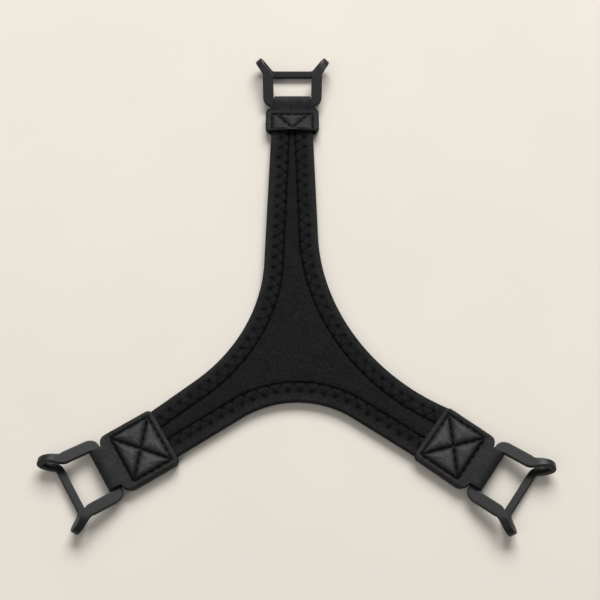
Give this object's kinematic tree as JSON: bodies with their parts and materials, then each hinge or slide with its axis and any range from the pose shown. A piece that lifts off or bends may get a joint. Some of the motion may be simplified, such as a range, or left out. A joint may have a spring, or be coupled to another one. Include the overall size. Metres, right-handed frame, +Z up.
{
  "type": "three-way harness yoke",
  "caption": "Flat padded fabric yoke with arms that end in stitched tabs, each holding a swinging steel hook with prongs for a strap loop.",
  "frame": {"origin": "middle of the bounding box, at floor level, with the yoke lying on its lining", "axes": "+Z up out of the face side, +Y along the single arm, +X to the right when seen from above"},
  "size_m": [0.2412, 0.2574, 0.0092],
  "materials": {
    "face_cloth": "fine black knit with a short brushed pile",
    "lining": "soft black mesh",
    "foam": "thin dark padding, hidden between the cloth faces",
    "webbing": "flat woven black ply, hidden",
    "binding": "black stretch cloth folded round the edge",
    "tab_cloth": "soft matte charcoal cloth, quilted by the stitching",
    "thread": "black sewing thread",
    "coated_steel": "satin black coating on steel strip"
  },
  "bodies": {
    "yoke": {"back_lining": "lining", "load_ply": "webbing", "foam_core": "foam", "front_panel": "face_cloth", "left_binding": "binding", "left_outer_thread": "thread", "left_inner_thread": "thread", "left_cover_thread": "thread", "lower_binding": "binding", "lower_outer_thread": "thread", "lower_inner_thread": "thread", "lower_cover_thread": "thread", "right_binding": "binding", "right_outer_thread": "thread", "right_inner_thread": "thread", "right_cover_thread": "thread", "top_tab": "tab_cloth", "top_tab_needle_thread": "thread", "top_tab_bobbin_thread": "thread", "left_tab": "tab_cloth", "left_tab_needle_thread": "thread", "left_tab_bobbin_thread": "thread", "right_tab": "tab_cloth", "right_tab_needle_thread": "thread", "right_tab_bobbin_thread": "thread"},
    "top_hook": {"top_hook": "coated_steel"},
    "left_hook": {"left_hook": "coated_steel"},
    "right_hook": {"right_hook": "coated_steel"}
  },
  "joints": [
    {"name": "top_hook_swing", "type": "hinge", "parent": "yoke", "child": "top_hook", "pos_m": [-0.00248, 0.1019, 0.0035], "axis": [1, 0, 0], "range_deg": [-118, 93]},
    {"name": "left_hook_swing", "type": "hinge", "parent": "yoke", "child": "left_hook", "pos_m": [-0.08858, -0.0975, 0.0035], "axis": [-0.515, 0.8572, 0], "range_deg": [-118, 93]},
    {"name": "right_hook_swing", "type": "hinge", "parent": "yoke", "child": "right_hook", "pos_m": [0.08832, -0.0975, 0.0035], "axis": [-0.5807, -0.8141, 0], "range_deg": [-118, 93]}
  ]
}
